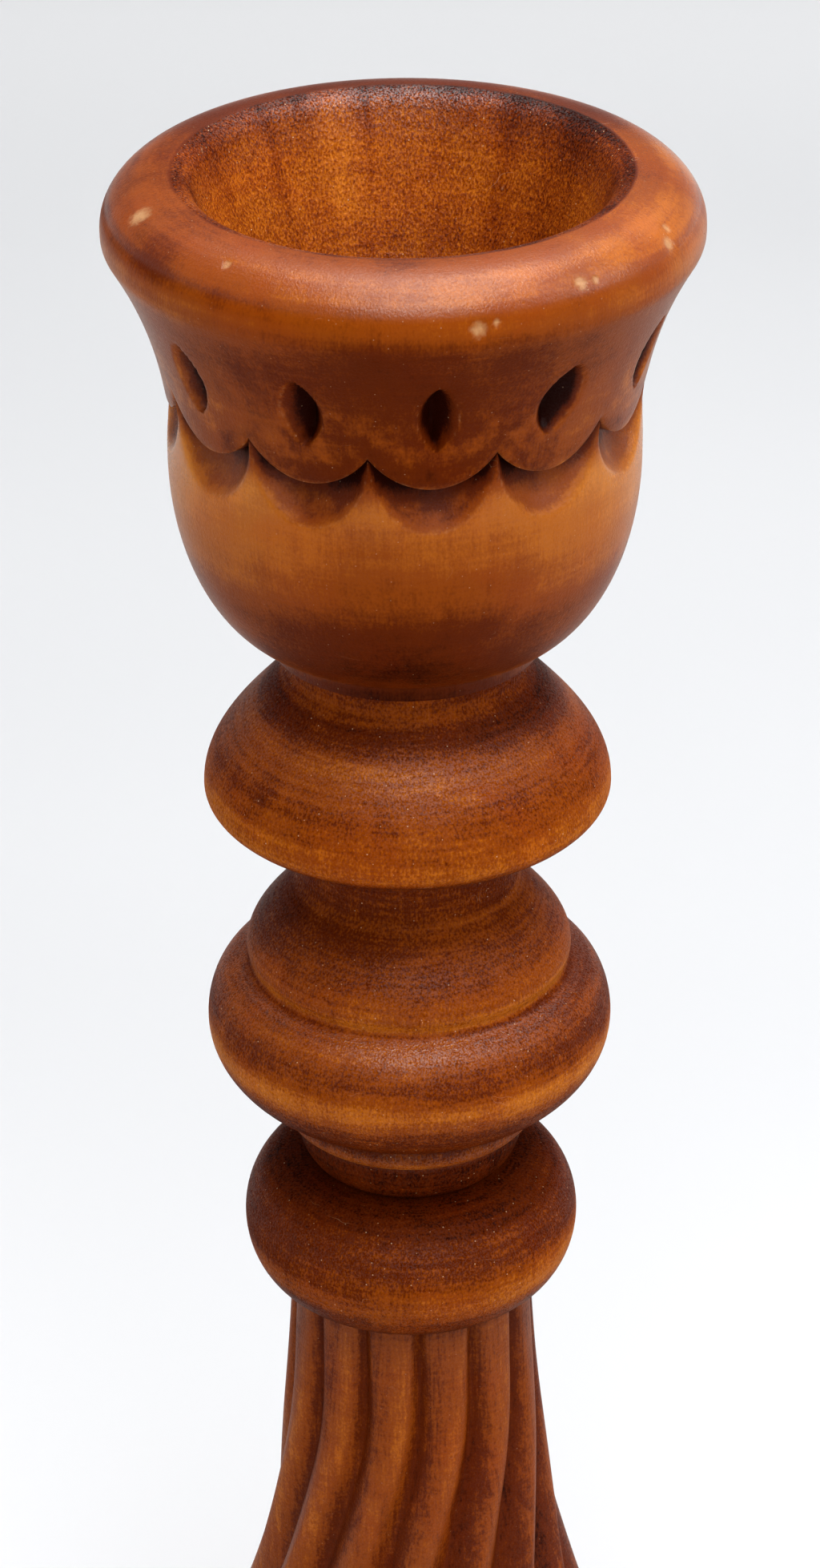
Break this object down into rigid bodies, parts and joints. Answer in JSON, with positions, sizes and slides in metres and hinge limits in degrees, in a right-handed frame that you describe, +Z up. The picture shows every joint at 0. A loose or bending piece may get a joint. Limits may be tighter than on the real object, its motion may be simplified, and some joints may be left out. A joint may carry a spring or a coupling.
{
  "type": "candlestick",
  "caption": "Turned wooden candlestick with a flared, carved candle cup, a knopped stem, a spiral-fluted flaring column and a round moulded foot with a felt base.",
  "frame": {"origin": "centre of the felt's underside, on the surface that the candlestick stands on", "axes": "+Z up the turning axis, from the foot to the cup; -Y towards the viewer of the front"},
  "size_m": [0.088, 0.088, 0.2],
  "materials": {
    "cup_wood": "stained and waxed, satin",
    "stem_wood": "stained and waxed, satin",
    "column_wood": "stained and waxed, satin",
    "foot_wood": "stained and waxed, satin",
    "dowel_wood": "bare",
    "screw_steel": "zinc plated",
    "washer_steel": "zinc plated",
    "felt": "pressed wool felt"
  },
  "bodies": {
    "root": {"candle_cup": "cup_wood", "cup_dowel": "dowel_wood", "knop_stem": "stem_wood", "stem_dowel": "dowel_wood", "fluted_column": "column_wood", "turned_foot": "foot_wood", "foot_screw": "screw_steel", "screw_washer": "washer_steel", "felt_pad": "felt"}
  },
  "joints": []
}
